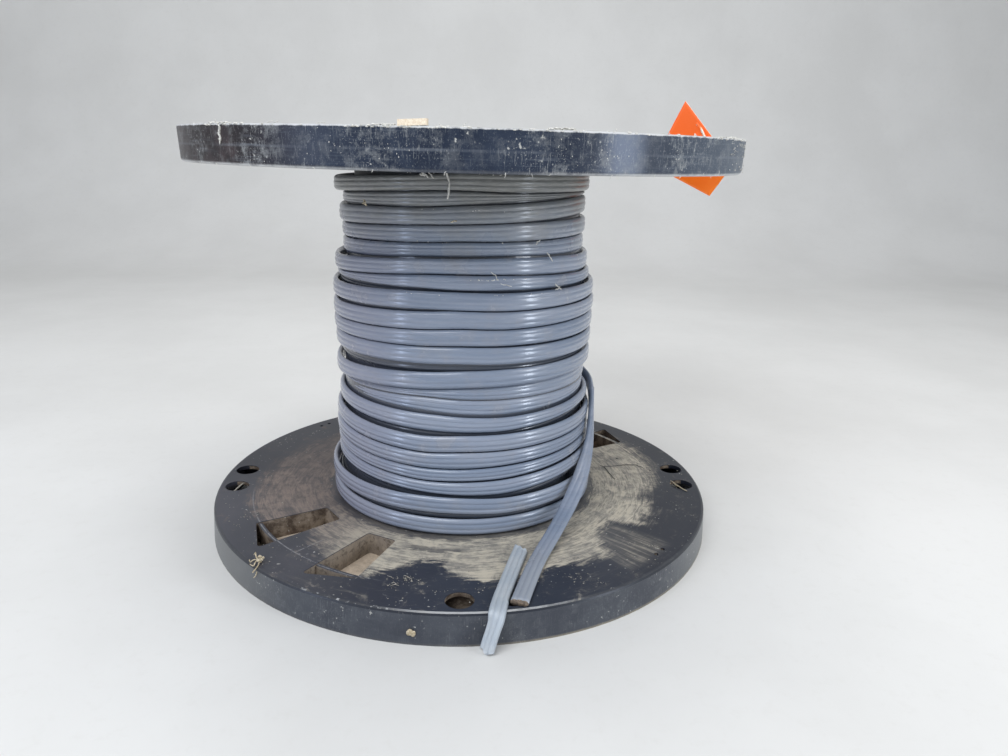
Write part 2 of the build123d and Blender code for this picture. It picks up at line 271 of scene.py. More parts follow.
def edge_wear_and_highlights(n, place, colour, rim, lower, crumb):
    """Thin pale lines along the rims' edges, the one on the lower face's edge a painted highlight; a painted
    shade on the lower rim's rounded edge, and a soiled foot.
    """
    where, x, _, z, _, _, lift = place
    wear = n.step(crumb, 0.28, 0.55, 0.45, 1)
    low_rim = n.times(rim, lower)
    # painted shade: the lower rim's rounded edge is darkened so it shows less highlight
    painted_dull_edge = n.times(n.step(lift, 0.12, 0.3, 0, 0.65), n.step(lift, 0.985, 0.93), low_rim)
    colour = n.mix(painted_dull_edge, colour, (0.012, 0.014, 0.02))
    spots = n.step(n.noise(where, 120, 3, 0.7), 0.52, 0.62, 0, 0.5)
    spots = n.times(spots, n.step(x, -0.2, -0.13), n.step(x, 0, -0.05))
    front = n.math("MAXIMUM", n.step(n.apart(x, 0.02), 0.11, 0.04, 0.05, 0.6), spots)
    # painted highlight: a thin bright line along the lower face's edge, strongest at the front
    painted_edge_highlight = n.times(n.step(n.apart(lift, 0.93), 0.028, 0.006), low_rim, front)
    top = n.plus(z, n.swing(crumb, 0.0028))
    top_edge = n.times(n.step(top, HEIGHT - 0.0017, HEIGHT - 0.0007, 0, 0.95), rim)
    under_edge = n.step(z, UPPER_FACE + 0.003, UPPER_FACE + 0.0008)
    under_edge = n.times(under_edge, rim, n.math("GREATER_THAN", z, HEIGHT / 2))
    under_edge = n.times(under_edge, n.step(n.math("ABSOLUTE", x), 0.02, 0.16, 0.1, 0.7))
    # pale lines along the upper rim's edges, and the painted highlight along the lower face's edge
    worn = n.plus(painted_edge_highlight, top_edge, under_edge)
    colour = n.mix(n.times(worn, wear, clamp=True), colour, (0.66, 0.66, 0.65))
    foot = n.times(n.step(z, 0.003, 0.0006), rim, n.step(x, -0.05, 0.12, 0.1, 0.7))
    return n.mix(n.times(foot, wear), colour, (0.3, 0.26, 0.19))


def reel_material():
    """Black moulded plastic: dusty about the cable, clean and blue-black outside, scuffed at the rims, with a
    painted sheen on the face's left and on the upper rim.
    """
    n = Nodes("reel_plastic")
    place = n.place()
    where, x, y, z, radius, angle, lift = place
    broad = n.noise(where, 7, 3)
    patch = n.noise(where, 24, 5, 0.62, 0.5)
    mottle = n.noise(where, 58, 6, 0.72, 0.6)
    fine = n.noise(where, 150, 4, 0.7)
    grit = n.noise(where, 900, 2, 0.7)
    crumb = n.noise(where, 75, 5, 0.75)
    arc = n.noise(n.combine(n.times(angle, 3.4), n.times(radius, 105), z), 1.6, 6, 0.72, 1.5)
    film = dust_film(n, place, patch, mottle, fine, arc)

    # inside the pockets, below the face
    low = n.math("LESS_THAN", z, n.step(lift, 0.5, 0.9, DEPTH - 0.0008, DEPTH - 0.008))
    high = n.math("GREATER_THAN", z, DEPTH - 0.029)
    pocket = n.times(n.math("LESS_THAN", radius, POCKET_OUTER), n.math("GREATER_THAN", radius, POCKET_INNER))
    pocket_dust_and_shade = n.times(low, high, pocket, n.step(lift, 0.5, 0.9, 0.9, 1))

    # scuffed lines over the ribs between and beside the front pockets
    bow = n.times(n.step(n.apart(radius, 0.2595), 0.0011, 0.0003), n.step(angle, -3.05, -2.85))
    bow = n.times(bow, n.step(angle, -1.86, -1.98))
    spoke = n.step(n.times(n.apart(angle, POCKET_AXIS - pi), radius), 0.0011, 0.0003)
    spoke = n.times(spoke, n.step(radius, 0.262, 0.258), n.step(radius, 0.22, 0.226))
    worn = n.step(fine, 0.38, 0.55, 0, 0.75)
    lines = n.times(n.math("MAXIMUM", bow, spoke), n.step(lift, 0.6, 0.9), worn)

    # plain plastic of the face, painted lighter and greyer at the left as a painted sheen, and the tones of
    # the two rims
    right = n.step(x, -0.16, 0.04)
    near = n.mix(right, (0.044, 0.046, 0.058), (0.022, 0.027, 0.042))
    far = n.mix(right, (0.064, 0.064, 0.078), (0.031, 0.037, 0.052))
    plain = n.mix(n.step(broad, 0.35, 0.65), near, far)
    left_back = n.times(n.step(x, -0.1, -0.17), n.step(y, -0.05, 0.05))
    clean = n.math("MAXIMUM", n.step(x, 0.14, 0.21), left_back)
    plain = n.mix(n.times(clean, 0.75), plain, (0.011, 0.013, 0.022))
    rim = n.math("GREATER_THAN", radius, RIM_INNER)
    side = n.times(rim, n.step(lift, 0.5, 0.2))
    slate = n.mix(n.step(patch, 0.35, 0.7), (0.042, 0.047, 0.06), (0.064, 0.071, 0.084))
    slate = n.mix(n.step(x, 0.19, 0.3, 0, 0.8), slate, (0.165, 0.172, 0.17))
    slate = n.mix(n.step(x, -0.15, -0.25, 0, 0.8), slate, (0.15, 0.152, 0.148))
    lower = n.math("LESS_THAN", z, HEIGHT / 2)
    middle = n.mix(n.step(patch, 0.38, 0.68), (0.007, 0.014, 0.032), (0.019, 0.029, 0.052))
    brown = n.mix(n.step(patch, 0.38, 0.68), (0.016, 0.012, 0.014), (0.05, 0.036, 0.038))
    dark_rim = n.mix(n.step(x, -0.2, -0.1), brown, middle)
    dark_rim = n.mix(n.step(x, 0.12, 0.27, 0, 0.8), dark_rim, (0.105, 0.13, 0.165))
    # painted reflection: a bluish sheen of a window, painted in a narrow band on the upper rim
    painted_light = n.step(n.apart(angle, -1.14), 0.1, 0.015, 0, 0.62)
    dark_rim = n.mix(painted_light, dark_rim, (0.15, 0.185, 0.262))
    colour = n.mix(side, plain, n.mix(lower, dark_rim, slate))
    colour = n.mix(lines, colour, (0.27, 0.27, 0.28))
    colour, scuffed = rim_scuffs(n, place, colour, side, lower, broad, crumb)
    colour = edge_wear_and_highlights(n, place, colour, rim, lower, crumb)

    # dust over it, brown at the left and pale at the right; dust on the pockets' walls, and on their floors a
    # tan in painted shade
    ahead = n.step(n.minus(x, n.times(n.plus(y, 0.05), 0.6)), -0.16, 0.04)
    warm = n.mix(ahead, (0.255, 0.205, 0.175), (0.56, 0.505, 0.405))
    shade = n.mix(ahead, (0.158, 0.134, 0.122), (0.35, 0.325, 0.28))
    tone = n.plus(n.times(arc, 0.6), n.times(mottle, 0.5), n.times(patch, 0.3))
    colour = n.mix(film, colour, n.mix(n.step(tone, 0.58, 0.8), shade, warm))
    wall = n.mix(n.step(mottle, 0.38, 0.62), (0.09, 0.062, 0.042), (0.27, 0.215, 0.16))
    dusty = n.times(n.step(angle, -2.33, -2.25, 0, 0.42), n.step(angle, -1.86, -1.92))
    wall = n.mix(dusty, wall, (0.42, 0.36, 0.29))
    wall = n.mix(n.step(fine, 0.5, 0.64, 0, 0.55), wall, (0.06, 0.042, 0.028))
    # painted shade: the pocket floors get a tan that stands for a dirty table seen in shade through the
    # pockets
    tan = n.mix(n.step(crumb, 0.3, 0.7), (0.46, 0.37, 0.28), (0.7, 0.58, 0.45))
    colour = n.mix(pocket_dust_and_shade, colour, n.mix(n.step(lift, 0.5, 0.9), wall, tan))
    rough = n.plus(0.36, n.times(film, 0.5), n.times(pocket_dust_and_shade, 0.5), n.times(scuffed, 0.15), clamp=True)
    bump = n.plus(
        n.times(grit, n.plus(0.1, n.times(film, 0.4))),
        n.times(crumb, n.plus(0.15, n.times(pocket_dust_and_shade, 2))),
    )
    return n.finish(colour, rough, bump, 0.3, 0.0005, Specular_IOR_Level=0.36)


def cable_material(name, warm=0.5, dust=0.25, shaded=0):
    """Satin grey-blue cable sheath, dustier near the upper flange and greyer on the left."""
    n = Nodes(name)
    where, x, _, z, radius, angle, _ = n.place()
    tone = n.noise(n.combine(n.times(angle, 0.5), radius, n.times(z, 60)), 1.3, 3, 0.6)
    blotch = n.noise(where, 26, 4, 0.6)
    fine = n.noise(n.combine(n.times(angle, 6), radius, n.times(z, 420)), 2.2, 3, 0.7)
    colour = n.mix(n.step(tone, 0.35, 0.65), (0.19, 0.231, 0.304), (0.256, 0.291, 0.362))
    colour = n.mix(n.step(blotch, 0.5, 0.75, 0, warm), colour, (0.27, 0.272, 0.292))
    colour = n.mix(n.step(x, -0.03, -0.13, 0, 0.55), colour, (0.245, 0.24, 0.3))
    # paler along the loose end, olive under the upper flange
    colour = n.mix(n.step(radius, 0.185, 0.27, 0, 0.6), colour, (0.33, 0.35, 0.375))
    high = n.step(n.plus(z, n.times(blotch, 0.05)), 0.345, 0.44)
    olive = n.mix(n.step(fine, 0.3, 0.7), (0.15, 0.148, 0.13), (0.225, 0.22, 0.192))
    colour = n.mix(n.times(high, 0.88), colour, olive)
    colour = n.mix(n.step(fine, 0.55, 0.8, 0, dust), colour, (0.42, 0.43, 0.45))
    # painted shade: the shaded copy is darkened towards near black
    colour = n.mix(shaded, colour, (0.01, 0.012, 0.018))
    rough = n.plus(0.17, n.times(blotch, 0.16), n.times(high, 0.12))
    return n.finish(colour, rough, fine, 0.1, 0.0003, Coat_Weight=0.4, Coat_Roughness=0.14)


def strip_material():
    """Paler, slightly milky sheath of the off-cut strip."""
    n = Nodes("offcut_sheath")
    where = n.place()[0]
    fine = n.noise(where, 240, 4, 0.7)
    broad = n.noise(where, 40, 3, 0.6)
    colour = n.mix(n.step(broad, 0.35, 0.65), (0.4, 0.445, 0.49), (0.46, 0.495, 0.525))
    colour = n.mix(n.step(fine, 0.6, 0.8, 0, 0.35), colour, (0.58, 0.57, 0.53))
    return n.finish(colour, 0.4, fine, 0.2, 0.0003)


def tag_material():
    """Fluorescent orange tag card, painted brighter below and darker above for how the light falls on it, and
    given a painted glow.
    """
    n = Nodes("tag_sheet")
    where, _, _, z = n.place()[:4]
    fine = n.noise(where, 420, 3, 0.7)
    broad = n.noise(where, 22, 3, 0.6)
    # painted light and shade: the lower part brighter, the upper part darker
    colour = n.mix(n.step(z, 0.45, 0.42), (0.6, 0.092, 0.022), (0.96, 0.29, 0.024))
    colour = n.mix(n.step(broad, 0.4, 0.7, 0, 0.25), colour, (0.66, 0.09, 0.02))
    # painted light: an orange emission makes the card glow
    painted_light = (1, 0.165, 0.012)
    return n.finish(colour, 0.55, fine, 0.12, 0.0003, Emission_Color=painted_light, Emission_Strength=0.52)


def tie_material():
    """Thin cord of the tag, off-white with an orange tint."""
    n = Nodes("tie_plastic")
    tint = n.noise(n.place()[0], 160, 2, 0.6)
    return n.finish(n.mix(n.step(tint, 0.45, 0.6), (0.8, 0.74, 0.66), (0.8, 0.42, 0.2)), 0.6)


def zinc_material():
    """Zinc-plated steel of the bolts and nuts."""
    n = Nodes("zinc_steel")
    spangle = n.noise(n.place()[0], 260, 3, 0.6)
    colour = n.mix(n.step(spangle, 0.3, 0.7), (0.42, 0.41, 0.37), (0.58, 0.57, 0.52))
    return n.finish(colour, n.plus(0.28, n.times(spangle, 0.2)), spangle, 0.1, 0.0003, Metallic=1)


def grainy_material(name, dark, pale, scale=600, rough=0.8, bump=0.4, detail=3, half=0.15, depth=0.0004):
    """Grain from dark to pale: straw and crumbs, the barrel, the cable's cut end."""
    n = Nodes(name)
    fine = n.noise(n.place()[0], scale, detail, 0.7)
    colour = n.mix(n.step(fine, 0.5 - half, 0.5 + half), dark, pale)
    return n.finish(colour, rough, fine, bump, depth)


reel = reel_material()
cable = cable_material("cable_sheath")
# the layer below and the core: the sheath darkened as painted shade in the gaps between turns and above the
# top turn
shaded_under_cable = cable_material("cable_under", 0.8, 0.05, 0.8)
strip = strip_material()
cut = grainy_material("cable_cut", (0.1, 0.075, 0.055), (0.24, 0.18, 0.13), 500, 0.7, 0.5)
orange = tag_material()
tie_cord = tie_material()
barrel = grainy_material(
    "barrel_plastic", (0.014, 0.015, 0.018), (0.03, 0.031, 0.034), 200, 0.45, 0.15, 4, 0.2, 0.0003,
)
zinc = zinc_material()
straw = grainy_material("straw", (0.34, 0.27, 0.16), (0.62, 0.54, 0.4))
chaff = grainy_material("chaff", (0.24, 0.22, 0.18), (0.5, 0.47, 0.4))
lint = grainy_material("lint", (0.46, 0.45, 0.41), (0.76, 0.74, 0.68))
chip = grainy_material("chip", (0.72, 0.58, 0.42), (0.86, 0.76, 0.6))

# material of each node, by the start of its name
LOOKS = {
    "flange": reel, "barrel": barrel, "tie_bolt": zinc, "tie_nut": zinc,
    "tag_tie": tie_cord, "tag": orange, "sheath_offcut": strip, "cable": cable,
}
for name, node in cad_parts.items():
    start = next(start for start in LOOKS if name.startswith(start))
    node.data.materials.clear()
    node.data.materials.append(LOOKS[start])


# Shapes
def make_object(name, points, faces, materials, smooth=True, chosen=None):
    """Makes a mesh object; chosen gives each face its material."""
    mesh = bpy.data.meshes.new(name)
    mesh.from_pydata([tuple(point) for point in points], [], faces)
    mesh.validate()
    for material in materials:
        mesh.materials.append(material)
    if chosen is not None:
        mesh.polygons.foreach_set("material_index", chosen)
    mesh.polygons.foreach_set("use_smooth", [smooth] * len(mesh.polygons))
    mesh.update()
    return link_object(name, mesh)


def add_piece(name, points, faces, materials, slot=None, **settings):
    """Makes a piece that rides on the one body."""
    piece = make_object(name, points, faces, materials, **settings)
    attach(piece, "root")
    return piece


def around(radius, degrees, z):
    """Point in metres, from a radius in mm, an angle in degrees and a height in mm."""
    a = radians(degrees)
    return Vector((radius * cos(a), radius * sin(a), z)) / 1000


def ring_at(angle, section):
    """Points in metres of a section of radii and heights in mm, at an angle in radians."""
    return [(r / 1000 * cos(angle), r / 1000 * sin(angle), z / 1000) for r, z in section]


def band_faces(count, size, closed=False, flip=False):
    """Faces between rings of points; closed joins the last ring to the first, flip turns the faces over."""
    faces = []
    for i in range(count if closed else count - 1):
        j = (i + 1) % count
        for k in range(size):
            m = (k + 1) % size
            a, b, c, d = i * size + k, j * size + k, j * size + m, i * size + m
            faces.append((a, d, c, b) if flip else (a, b, c, d))
    return faces


def rod_faces(count, size):
    """Faces of a rod of rings with both ends closed; the far end is the last face."""
    faces = band_faces(count, size, flip=True)
    faces.append(tuple(range(size))[::-1])
    faces.append(tuple(range((count - 1) * size, count * size)))
    return faces


def heading(path, index):
    """Direction of a path at one of its points."""
    return (path[min(index + 1, len(path) - 1)] - path[max(index - 1, 0)]).normalized()


class Heap:
    """Gathers many shapes into one mesh."""

    def __init__(self):
        self.verts, self.faces = [], []

    def add(self, verts, faces):
        start = len(self.verts)
        self.verts += verts
        self.faces += [tuple(start + f for f in face) for face in faces]

    def loop(self, rings):
        """A band closed on itself."""
        faces = band_faces(len(rings), len(rings[0]), closed=True)
        self.add([point for ring in rings for point in ring], faces)

    def fibre(self, start, end, thick, sag, seed, count=9, sides=5):
        """Thin tapered rod, unevenly bent between two points."""
        chooser = random.Random(seed)
        push = Vector(chooser.uniform(-1, 1) for _ in range(3)).normalized() * sag
        twist = Vector(chooser.uniform(-1, 1) for _ in range(3)).normalized() * sag * 0.4
        shares = [i / (count - 1) for i in range(count)]
        path = [start.lerp(end, t) + push * sin(pi * t) + twist * sin(2 * pi * t) for t in shares]
        verts = []
        for index, point in enumerate(path):
            ahead = heading(path, index)
            across = ahead.cross(Vector((0.3, 0.2, 0.93))).normalized()
            other = ahead.cross(across)
            radius = thick * (0.45 + 0.55 * sin(pi * (0.12 + 0.76 * shares[index])))
            for k in range(sides):
                a = 2 * pi * k / sides
                verts.append(point + (across * cos(a) + other * sin(a)) * radius)
        self.add(verts, rod_faces(count, sides))

    def crumb(self, centre, size, seed, flat=(1, 1, 1), rings=5, sides=7):
        """Uneven lump, flattened by a share on each axis."""
        chooser = random.Random(seed)
        flat = Vector(flat)
        pole = Vector((0, 0, size)) * flat
        verts = [centre + pole]
        for i in range(1, rings):
            a = pi * i / rings
            for k in range(sides):
                b = 2 * pi * k / sides
                way = Vector((sin(a) * cos(b), sin(a) * sin(b), cos(a)))
                verts.append(centre + way * flat * (size * chooser.uniform(0.65, 1.15)))
        last = len(verts)
        verts.append(centre - pole)
        faces = [tuple(1 + f for f in face) for face in band_faces(rings - 1, sides)]
        for k in range(sides):
            m = (k + 1) % sides
            faces += [(0, 1 + k, 1 + m), (last, last - sides + m, last - sides + k)]
        self.add(verts, faces)

    def piece(self, name, material, slot=None, smooth=True):
        return add_piece(name, self.verts, self.faces, [material], slot, smooth=smooth)


# Winding, in mm: the turns' boundaries at the knots' angles, as heights above the lower face
KNOTS = (200, 254, 268, 286, 335)
BOUNDS = (
    (377, 383.5, 386, 386, 386),
    (360.7, 367.5, 368.3, 366.9, 366.2),
    (348.2, 351.3, 353.9, 356.8, 362.2),
    (327.8, 333.9, 334.9, 336.4, 341.9),
    (311.3, 316.2, 318.1, 317.8, 319.1),
    (293.3, 301.7, 302.5, 303.2, 300.9),
    (275.3, 285.6, 285.9, 285.3, 280.3),
    (268.8, 271, 269.7, 269.4, 267.4),
    (245.1, 250.2, 250.2, 248.8, 249.2),
    (223, 229.1, 231.6, 229.7, 231.2),
    (206.6, 211.4, 213.1, 212.4, 211.5),
    (187.8, 192.1, 193.3, 192, 191.2),
    (155.5, 164.6, 167.2, 168, 168.9),
    (149.8, 154.9, 153.4, 152.2, 150.5),
    (141.9, 138.2, 135.6, 133.7, 136.7),
    (121, 118.1, 117.6, 117.3, 124.2),
    (98.7, 94.1, 96.3, 96.2, 97.6),
    (79.6, 76.4, 77.1, 78.9, 83.4),
    (66.8, 61.6, 62.6, 63.9, 72),
    (52.4, 47.8, 47.1, 46.9, 58),
    (25.5, 28.2, 27.9, 25.4, 27.1),
    (3.5, 2.6, 2.2, 1.7, 2.1),
)
# outer radius of each turn at the photograph's left and right, in mm
LEFT_R = (149.6, 141.6, 144.8, 142.2, 141.6, 151.5, 152, 154.6, 154.6, 154.5, 153.2, 153.6, 150.2,
          146.6, 151.4, 155, 155.5, 154.8, 154.6, 162.6, 161.4)
RIGHT_R = (142.2, 140, 138.8, 139.2, 138.2, 144, 147.6, 152.8, 153.4, 153, 152.4, 152, 146.4,
           146, 152.6, 155.2, 155.4, 157.6, 161, 163.6, 161.6)
# height of the lower face, half the cable's thickness and width, most height of a turn, half a gap
FACE = DEPTH * 1000
HALF_T = CABLE_T * 500
HALF_W = CABLE_W * 500
TURN_HEIGHT = 18.4
HALF_GAP = 0.5
TURN_ANGLES = np.arange(144) * 2.5
UNDER_ANGLES = np.arange(72) * 5
CORE_SIDES = 96


def smooth_round(values, angles):
    """Values around the reel through the knots, closed smoothly behind."""
    xs = [KNOTS[-1] - 360, *KNOTS, KNOTS[0] + 360, KNOTS[1] + 360]
    ys = [values[-1], *values, values[0], values[1]]
    out = []
    for a in angles:
        for low in range(len(xs) - 1):
            if xs[low] <= a <= xs[low + 1]:
                t = (a - xs[low]) / (xs[low + 1] - xs[low])
                t = t * t * (3 - 2 * t) if low in (0, len(KNOTS)) else t
                out.append(ys[low] * (1 - t) + ys[low + 1] * t)
                break
    kernel = np.array([1, 2, 3, 2, 1]) / 9
    return np.convolve(np.concatenate([out[-2:], out, out[:2]]), kernel, "valid")


def wave(angles, seed, size):
    """Small smooth unevenness around the reel, always the same for a seed."""
    chooser = random.Random(seed)
    total = np.zeros(len(angles))
    for term in range(1, 6):
        total += chooser.uniform(-1, 1) / term * np.sin(np.radians(angles) * term + chooser.uniform(0, 6.28))
    return total * size


OUTER_V = (-1, -0.985, -0.94, -0.86, -0.74, -0.6, -0.46, -0.385, -0.34, -0.295, -0.22, -0.12, 0,
           0.12, 0.22, 0.295, 0.34, 0.385, 0.46, 0.6, 0.74, 0.86, 0.94, 0.985, 1)
INNER_V = (0.9, 0.5, 0, -0.5, -0.9)


def cable_profile():
    """Flat cable in section: (outward share of half the thickness, share of half the width)."""
    dip, crown = 0.1, 0.05
    points = []
    for v in OUTER_V:
        base = max(0, 1 - abs(v) ** 3.2) ** 0.5
        valley = exp(-(((abs(v) - 0.34) / 0.11) ** 2))
        bulge = crown * cos(v * pi * 3) if abs(v) < 0.85 else 0
        points.append((base * (1 + bulge) - dip * valley, v))
    for v in INNER_V:
        points.append((-max(0, 1 - abs(v) ** 3.2) ** 0.5, v))
    return points


PROFILE = cable_profile()


def turn_radius(index, angles):
    """Outer radius of a turn, from its two sides."""
    share = 0.5 + 0.5 * np.sin(np.radians(angles - 270))
    return LEFT_R[index] * (1 - share) + RIGHT_R[index] * share


def make_turns():
    """The outer turns that show, each one closed loop of flat cable."""
    angles = TURN_ANGLES
    edges = [smooth_round(row, angles) for row in BOUNDS]
    heap = Heap()
    for index in range(len(LEFT_R)):
        top = edges[index] - HALF_GAP + wave(angles, 40 + index, 0.12)
        bottom = edges[index + 1] + HALF_GAP
        top = np.minimum(top, bottom + TURN_HEIGHT + wave(angles, 70 + index, 0.25))
        height = np.maximum(top - bottom, 3)
        # a turn squeezed between its neighbours lies deeper
        squeezed = np.clip((14.5 - height) / 10, 0, 1)
        radius = turn_radius(index, angles) + wave(angles, index, 0.55) - squeezed * 3.6 - HALF_T
        lean = wave(angles, 100 + index, 0.35)
        rings = []
        for a, r, low, h, tilt in zip(np.radians(angles), radius, bottom, height, lean):
            section = [(r + u * HALF_T + tilt * v, FACE + low + h / 2 + v * h / 2) for u, v in PROFILE]
            rings.append(ring_at(a, section))
        heap.loop(rings)
    return heap.piece("winding_turns", cable, "cable_sheath")


def make_under_turns():
    """The layer below, which shows in the gaps between the turns, and the ends of the layers."""
    angles = UNDER_ANGLES
    heap = Heap()
    for index in range(1, len(LEFT_R)):
        middle = smooth_round(BOUNDS[index], angles) + wave(angles, 200 + index, 0.8)
        radius = np.minimum(turn_radius(index - 1, angles), turn_radius(index, angles)) - 9.2
        heap.loop([
            ring_at(a, [(r + u * HALF_T, FACE + m + v * HALF_W) for u, v in PROFILE])
            for a, r, m in zip(np.radians(angles), radius, middle)
        ])
    heap.piece("winding_under", shaded_under_cable, "cable_sheath")


def make_core():
    """The hidden layers down to the barrel, with their edges showing at both ends."""
    section = [(127.4, 34.3)]
    for layer in range(4):
        inner = 127.3 + layer * 2 * HALF_T
        section += [(inner + 0.4, 35.4), (inner + 1.2, 34.4), (inner + 5.6, 34.4), (inner + 6.4, 35.4)]
    section += [(154, 35.4), (150.5, 60), (146.5, 110), (143.8, 200), (142, 300), (132, 350), (131, 407)]
    section += [(130.8, 408), (128.2, 408), (127.4, 407.2)]
    heap = Heap()
    heap.loop([ring_at(2 * pi * i / CORE_SIDES, section) for i in range(CORE_SIDES)])
    heap.piece("winding_core", shaded_under_cable, "cable_sheath", smooth=False)


turns = make_turns()
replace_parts(turns, "cable_winding")
make_under_turns()
make_core()

# Loose end of the cable, on the same route as in the part's source
TAIL_ROUTE = (
    (0.1586, -0.0100, 0.1580), (0.1556, -0.0402, 0.1300), (0.1488, -0.0724, 0.1030),
    (0.1350, -0.1060, 0.0790), (0.1170, -0.1390, 0.0580), (0.0980, -0.1710, 0.0435),
    (0.0810, -0.2050, 0.0377), (0.0685, -0.2410, 0.0377), (0.0535, -0.2920, 0.0377),
)


def spline_points(route, steps):
    """Points along the NURBS spline of a route."""
    data = bpy.data.curves.new("route", "CURVE")
    data.dimensions = "3D"
    spline = data.splines.new("NURBS")
    spline.points.add(len(route) - 1)
    for point, place in zip(spline.points, route):
        point.co = (*place, 1)
    spline.order_u = 3
    spline.use_endpoint_u = True
    data.resolution_u = steps
    holder = bpy.data.objects.new("route", data)
    mesh = bpy.data.meshes.new_from_object(holder)
    points = [Vector(v.co) for v in mesh.vertices]
    bpy.data.meshes.remove(mesh)
    bpy.data.objects.remove(holder)
    bpy.data.curves.remove(data)
    return points


def flat_sweep(name, points, width, thickness, lain_from, materials, slot):
    """Flat cable along points: faces outward at first and upward from where it has lain down."""
    outer = PROFILE[: len(OUTER_V)]
    section = outer + [(-u, v) for u, v in outer[-2:0:-1]]
    total = sum((b - a).length for a, b in zip(points, points[1:]))
    run = 0
    verts = []
    for index, point in enumerate(points):
        if index:
            run += (point - points[index - 1]).length
        ahead = heading(points, index)
        outward = Vector((point.x, point.y, 0)).normalized()
        lain = min(run / total / lain_from, 1)
        lain = lain * lain * (3 - 2 * lain)
        facing = (outward * (1 - lain) + Vector((0, 0, lain))).normalized()
        across = facing.cross(ahead).normalized()
        facing = ahead.cross(across).normalized()
        for u, v in section:
            verts.append(point + facing * (u * thickness / 2) + across * (v * width / 2))
    faces = rod_faces(len(points), len(section))
    chosen = [0] * (len(faces) - 1) + [len(materials) - 1]
    return add_piece(name, verts, faces, materials, slot, chosen=chosen)


# last stretch of the turn that the loose end leaves: radius and height in mm, angle in degrees
LEAD_ROUTE = (
    (150.6, 44, 170.5), (152.2, 30, 170.8), (155.4, 17, 169.8),
    (158.3, 6, 165.8), (159, -1.2, 160), (158.2, -5.6, 155.2),
)
lead_line = spline_points([around(*place) for place in LEAD_ROUTE], 10)
flat_sweep("winding_lead", lead_line, CABLE_W - 0.0002, CABLE_T - 0.0002, inf, [cable], "cable_sheath")

tail_line = spline_points(TAIL_ROUTE, 14)
tail = flat_sweep("cable_end", tail_line, CABLE_W, CABLE_T, 0.62, [cable, cut], "cable_sheath")
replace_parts(tail, "cable_tail")


# Off-cut of sheath: a shell with three ridges, along the same route as in the part's source
OFFCUT_ROUTE = (
    (0.0621, -0.1891, 0.0366), (0.0554, -0.2117, 0.0366), (0.0453, -0.2499, 0.0366),
    (0.0372, -0.2795, 0.0366), (0.0338, -0.2950, 0.0367), (0.0326, -0.3020, 0.0363),
    (0.0316, -0.3058, 0.0345), (0.0305, -0.3080, 0.0300), (0.0285, -0.3098, 0.0230),
    (0.0246, -0.3128, 0.0110), (0.0221, -0.3149, 0.0018),
)


def make_strip():
    """Strip of empty sheath that lies on the lower flange and hangs over its edge."""
    route = spline_points(OFFCUT_ROUTE, 6)
    half, top, wall, ridge = 0.0085, 0.0023, 0.0011, 0.0012
    outer, inner = [], []
    for step in range(25):
        v = -1 + step / 12
        rise = abs(cos(v * 1.5 * pi)) ** 0.7
        edge = max(0, 1 - abs(v) ** 6) ** 0.5
        height = -top + (2 * top - ridge + ridge * rise) * edge
        outer.append((v * half, height))
        inner.append((v * (half - wall), max(height - wall, -top)))
    section = outer + inner[::-1]
    size = len(section)
    last = len(route) - 1
    verts = []
    for index, point in enumerate(route):
        ahead = heading(route, index)
        across = ahead.cross(Vector((0, 0, 1))).normalized()
        facing = across.cross(ahead).normalized()
        for a, b in section:
            slant = 0
            if index == 0:
                slant = a / half * 0.0055 + 0.0012 * sin(a * 900)
            if index == last:
                slant = 0.0016 * sin(a * 520 + 0.4)
            verts.append(point + across * -a + facing * b + ahead * slant)
    faces = band_faces(last + 1, size)
    for start, flip in ((0, True), (last * size, False)):
        for k in range(size // 2 - 1):
            quad = (start + k, start + k + 1, start + size - 2 - k, start + size - 1 - k)
            faces.append(quad[::-1] if flip else quad)
    return add_piece("sheath_strip", verts, faces, [strip], "offcut_sheath")


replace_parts(make_strip(), "sheath_offcut")

# Tag: a card hung behind the rim, its lower part curled outward
TAG_CORNERS = (
    (0.2809, 0.1185, 0.5081), (0.3157, 0.0137, 0.4314), (0.3035, 0.0521, 0.3932), (0.2578, 0.1698, 0.4260),
)
TAG_CELLS, TAG_T, HOLE_REACH = 20, 0.0006, 0.0024


def make_tag():
    """Thin bent card with a small hole for its cord."""
    top, right, bottom, left = (Vector(corner) for corner in TAG_CORNERS)
    count = TAG_CELLS
    outward = Vector((0.83, 0.42, 0)).normalized()
    rows = []
    for i in range(count + 1):
        s = i / count
        row = []
        for j in range(count + 1):
            t = j / count
            point = top * (1 - s) * (1 - t) + right * s * (1 - t) + bottom * s * t + left * (1 - s) * t
            bulge = sin(pi * s) * sin(pi * t)
            side = (left - right).normalized() * 0.0022 * sin(pi * t) * (1 - s)
            row.append(point + outward * 0.007 * bulge + side)
        rows.append(row)
    hole = rows[7][3]
    verts, faces = [], []
    for back in (0, TAG_T):
        for row in rows:
            verts += [point + outward * back for point in row]
    size = count + 1
    layer = size * size
    for i in range(count):
        for j in range(count):
            middle = (rows[i][j] + rows[i + 1][j + 1]) / 2
            if (middle - hole).length < HOLE_REACH:
                continue
            a = i * size + j
            quad = (a, a + size, a + size + 1, a + 1)
            faces += [quad, tuple(layer + corner for corner in quad[::-1])]
    chosen = [0] * len(faces)
    edge = count * size
    for k in range(count):
        a, b = k * size, (k + 1) * size
        for low, high in ((k, k + 1), (edge + k + 1, edge + k), (b, a), (a + count, b + count)):
            faces.append((low, high, layer + high, layer + low))
            chosen.append(1)
    piece = add_piece("tag_card", verts, faces, [orange, tie_cord], "tag_sheet", chosen=chosen)
    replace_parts(piece, "tag")
    return hole


tag_hole = make_tag()


